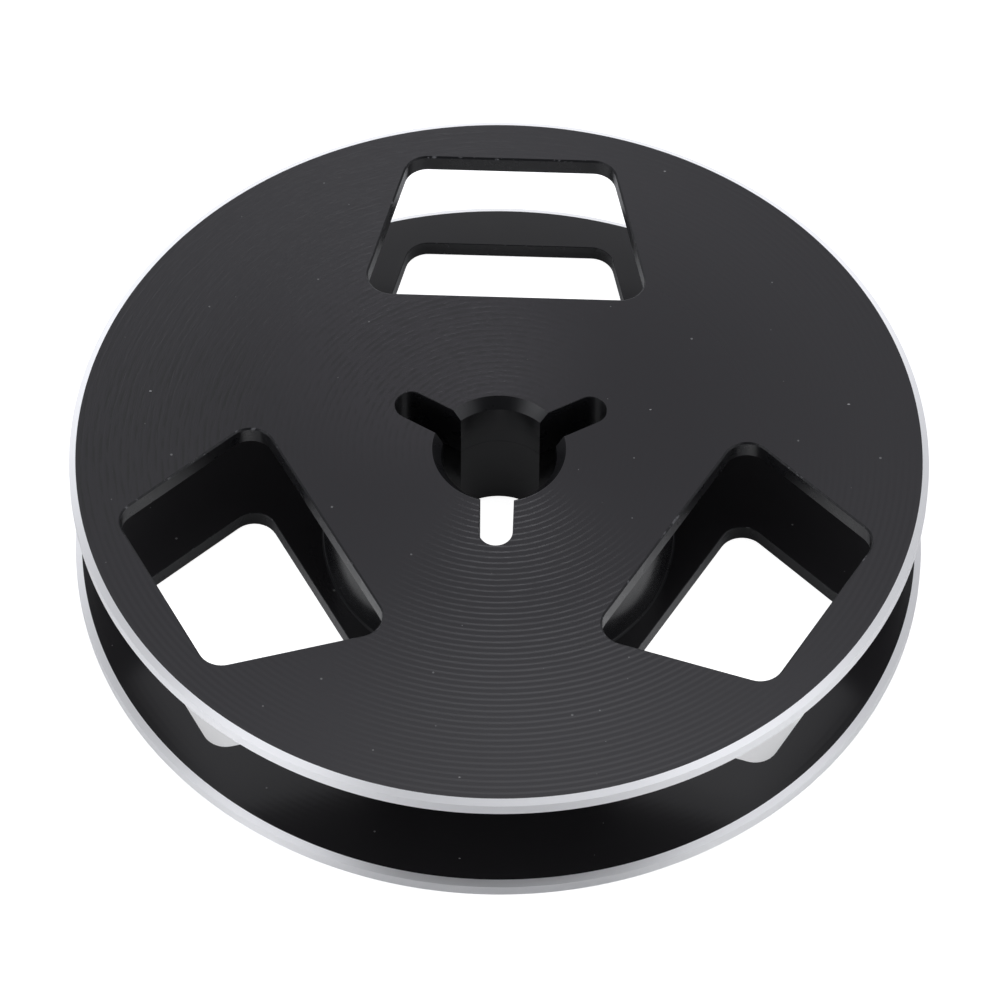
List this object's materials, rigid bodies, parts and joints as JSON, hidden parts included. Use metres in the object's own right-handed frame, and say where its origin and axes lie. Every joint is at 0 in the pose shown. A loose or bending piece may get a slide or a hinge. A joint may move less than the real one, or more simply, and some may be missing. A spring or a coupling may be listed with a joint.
{
  "type": "audio tape reel",
  "caption": "Small open-reel tape spool with windowed black flanges, bright cut rims, a plain hub and a slotted spindle hole.",
  "frame": {"origin": "middle of the spool's underside, on its own axis", "axes": "+Z along the axis from the lower flange to the upper flange; one window lies towards +Y and one slot towards -Y"},
  "size_m": [0.06, 0.06, 0.0112],
  "materials": {
    "flange_anodised": "fine-turned black anodising, rim corners cut back to bright metal",
    "hub_anodised": "smooth black anodising",
    "screw_steel": "black oxide"
  },
  "bodies": {
    "root": {"upper_flange": "flange_anodised", "hub": "hub_anodised", "lower_flange": "flange_anodised", "flange_screws": "screw_steel"}
  },
  "joints": []
}
